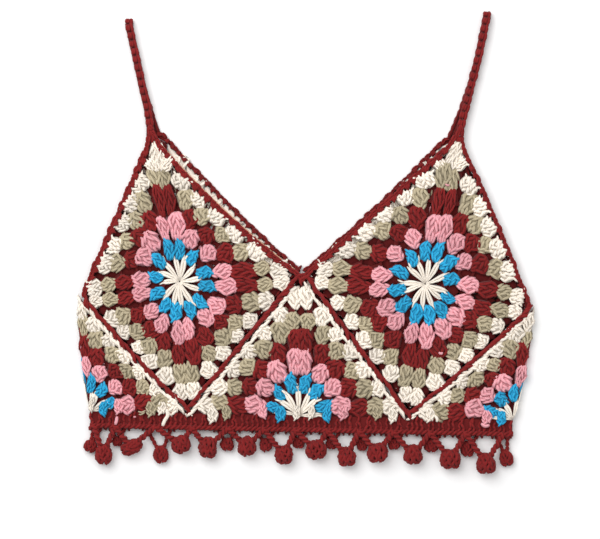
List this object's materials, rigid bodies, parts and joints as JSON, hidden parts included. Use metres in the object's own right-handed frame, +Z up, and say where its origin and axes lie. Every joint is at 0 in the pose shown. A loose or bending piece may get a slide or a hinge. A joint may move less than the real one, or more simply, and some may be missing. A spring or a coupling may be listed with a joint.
{
  "type": "crochet crop top",
  "caption": "Sleeveless V-neck crop top of crocheted granny squares with strap loops, a hem band and a bobble trim, laid flat.",
  "frame": {"origin": "on the surface the garment lies on, under the middle of its bounding box", "axes": "+X across the chest towards the wearer's left side, +Y from the hem towards the straps, +Z up from the surface, out of the front"},
  "size_m": [0.3794, 0.3866, 0.0152],
  "materials": {
    "granny_cotton": "matt cotton yarn, worked in ivory, blue, pink, dark red and taupe rounds",
    "red_cotton": "matt dark red cotton yarn"
  },
  "bodies": {
    "root": {"cup_front_left": "granny_cotton", "cup_front_right": "granny_cotton", "cup_back_left": "granny_cotton", "cup_back_right": "granny_cotton", "centre_front": "granny_cotton", "centre_back": "granny_cotton", "side_left_front": "granny_cotton", "side_left_back": "granny_cotton", "side_right_front": "granny_cotton", "side_right_back": "granny_cotton", "edge_front_left": "red_cotton", "edge_front_right": "red_cotton", "edge_back_left": "red_cotton", "edge_back_right": "red_cotton", "hem_front": "red_cotton", "hem_back": "red_cotton", "trim_front": "red_cotton", "trim_back": "red_cotton", "strap_left": "red_cotton", "strap_right": "red_cotton"}
  },
  "joints": []
}
